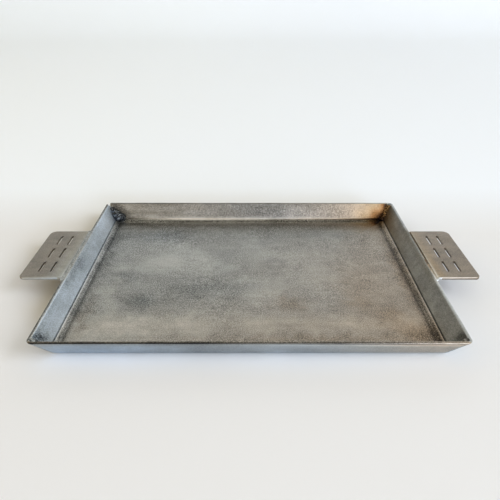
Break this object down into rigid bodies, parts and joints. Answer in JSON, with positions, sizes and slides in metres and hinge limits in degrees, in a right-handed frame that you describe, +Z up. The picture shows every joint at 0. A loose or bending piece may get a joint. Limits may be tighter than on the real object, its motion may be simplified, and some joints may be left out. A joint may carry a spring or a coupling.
{
  "type": "camp griddle plate",
  "caption": "Shallow steel griddle tray folded from one sheet, with leaning walls, welded corners and a flat slotted handle plate welded flush to each short side.",
  "frame": {"origin": "on the ground under the middle of the tray", "axes": "+X to the right handle along the longest side, +Y to the back wall, +Z up"},
  "size_m": [0.495, 0.3, 0.025],
  "materials": {
    "tray_steel": "bare hot-rolled steel, wire-brushed, mottled and smudged",
    "handle_steel": "bare steel with straw and brown heat colour towards the root",
    "ground_weld": "weld metal ground flush and brushed",
    "bead_weld": "rippled weld bead, dark blue and brown from heat",
    "root_weld": "weld metal, ground on top and rippled below"
  },
  "bodies": {
    "root": {"tray": "tray_steel", "left_handle": "handle_steel", "right_handle": "handle_steel", "outer_weld_front_left": "ground_weld", "outer_weld_front_right": "ground_weld", "outer_weld_back_left": "ground_weld", "outer_weld_back_right": "ground_weld", "inner_weld_front_left": "bead_weld", "inner_weld_front_right": "bead_weld", "inner_weld_back_left": "bead_weld", "inner_weld_back_right": "bead_weld", "left_root_weld": "root_weld", "right_root_weld": "root_weld"}
  },
  "joints": []
}
